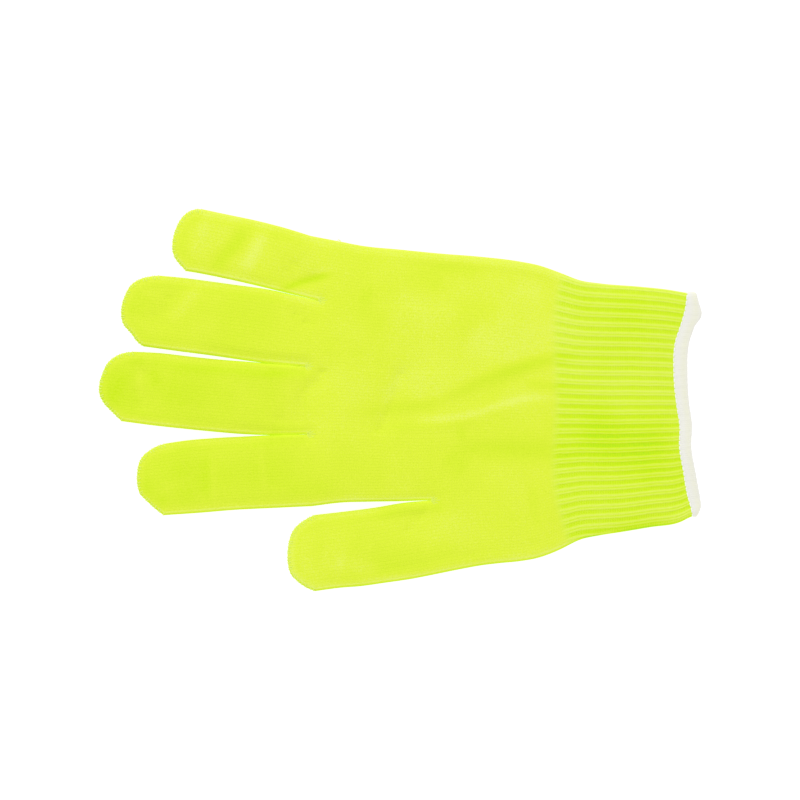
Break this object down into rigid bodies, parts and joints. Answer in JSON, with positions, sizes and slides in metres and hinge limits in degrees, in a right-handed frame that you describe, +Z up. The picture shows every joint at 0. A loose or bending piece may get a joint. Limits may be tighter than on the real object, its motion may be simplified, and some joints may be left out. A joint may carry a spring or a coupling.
{
  "type": "cut resistant glove",
  "caption": "Seamless knitted cut resistant work glove lying flat, with bending finger and thumb stalls, a ribbed elastic cuff and an overlocked hem.",
  "frame": {"origin": "middle of the glove's bounding box, on the table that it lies on", "axes": "+Y toward the fingertips, +X toward the little finger side, +Z up out of the palm side"},
  "size_m": [0.1566, 0.2478, 0.009],
  "materials": {
    "knit": "matte",
    "rib_knit": "matte",
    "hem_thread": "matte",
    "closing_thread": "matte",
    "elastic_thread": "matte"
  },
  "bodies": {
    "palm": {"palm_four_finger_section": "knit", "palm_thumb_section": "knit", "crotch_stitches_pinky_ring": "closing_thread", "crotch_stitches_ring_middle": "closing_thread", "crotch_stitches_middle_index": "closing_thread", "crotch_stitches_thumb_index": "closing_thread"},
    "cuff": {"cuff_rib_knit": "rib_knit", "cuff_overlock_hem": "hem_thread", "cuff_elastic_threads": "elastic_thread"},
    "pinky_base": {"pinky_base": "knit"},
    "pinky_middle": {"pinky_middle": "knit"},
    "pinky_tip": {"pinky_tip": "knit", "pinky_closing_seam": "closing_thread"},
    "ring_base": {"ring_base": "knit"},
    "ring_middle": {"ring_middle": "knit"},
    "ring_tip": {"ring_tip": "knit", "ring_closing_seam": "closing_thread"},
    "middle_base": {"middle_base": "knit"},
    "middle_middle": {"middle_middle": "knit"},
    "middle_tip": {"middle_tip": "knit", "middle_closing_seam": "closing_thread"},
    "index_base": {"index_base": "knit"},
    "index_middle": {"index_middle": "knit"},
    "index_tip": {"index_tip": "knit", "index_closing_seam": "closing_thread"},
    "thumb_base": {"thumb_base": "knit"},
    "thumb_tip": {"thumb_tip": "knit", "thumb_closing_seam": "closing_thread"}
  },
  "joints": [
    {"name": "wrist_fold", "type": "hinge", "parent": "palm", "child": "cuff", "pos_m": [0, -0.065, 0.009], "axis": [-1, 0, 0], "range_deg": [0, 60]},
    {"name": "pinky_root_bend", "type": "hinge", "parent": "palm", "child": "pinky_base", "pos_m": [0.0549, 0.038, 0.009], "axis": [1, 0, 0], "range_deg": [0, 75]},
    {"name": "pinky_first_bend", "type": "hinge", "parent": "pinky_base", "child": "pinky_middle", "pos_m": [0.05992, 0.05942, 0.009], "axis": [0.9736, -0.2284, 0], "range_deg": [0, 85]},
    {"name": "pinky_second_bend", "type": "hinge", "parent": "pinky_middle", "child": "pinky_tip", "pos_m": [0.06403, 0.07694, 0.009], "axis": [0.9736, -0.2284, 0], "range_deg": [0, 50]},
    {"name": "ring_root_bend", "type": "hinge", "parent": "palm", "child": "ring_base", "pos_m": [0.0275, 0.038, 0.009], "axis": [1, 0, 0], "range_deg": [0, 75]},
    {"name": "ring_first_bend", "type": "hinge", "parent": "ring_base", "child": "ring_middle", "pos_m": [0.03209, 0.06765, 0.009], "axis": [0.9882, -0.153, 0], "range_deg": [0, 85]},
    {"name": "ring_second_bend", "type": "hinge", "parent": "ring_middle", "child": "ring_tip", "pos_m": [0.03576, 0.09136, 0.009], "axis": [0.9882, -0.153, 0], "range_deg": [0, 50]},
    {"name": "middle_root_bend", "type": "hinge", "parent": "palm", "child": "middle_base", "pos_m": [0, 0.038, 0.009], "axis": [1, 0, 0], "range_deg": [0, 75]},
    {"name": "middle_first_bend", "type": "hinge", "parent": "middle_base", "child": "middle_middle", "pos_m": [0.00242, 0.07091, 0.009], "axis": [0.9973, -0.0732, 0], "range_deg": [0, 85]},
    {"name": "middle_second_bend", "type": "hinge", "parent": "middle_middle", "child": "middle_tip", "pos_m": [0.00439, 0.09784, 0.009], "axis": [0.9973, -0.0732, 0], "range_deg": [0, 50]},
    {"name": "index_root_bend", "type": "hinge", "parent": "palm", "child": "index_base", "pos_m": [-0.0287, 0.038, 0.009], "axis": [1, 0, 0], "range_deg": [0, 75]},
    {"name": "index_first_bend", "type": "hinge", "parent": "index_base", "child": "index_middle", "pos_m": [-0.03041, 0.06595, 0.009], "axis": [0.9981, 0.061, 0], "range_deg": [0, 85]},
    {"name": "index_second_bend", "type": "hinge", "parent": "index_middle", "child": "index_tip", "pos_m": [-0.03175, 0.08791, 0.009], "axis": [0.9981, 0.061, 0], "range_deg": [0, 50]},
    {"name": "thumb_root_bend", "type": "hinge", "parent": "palm", "child": "thumb_base", "pos_m": [-0.0574, -0.011, 0.009], "axis": [1, 0, 0], "range_deg": [0, 45]},
    {"name": "thumb_first_bend", "type": "hinge", "parent": "thumb_base", "child": "thumb_tip", "pos_m": [-0.06081, 0.01679, 0.009], "axis": [0.9925, 0.1219, 0], "range_deg": [0, 65]}
  ]
}
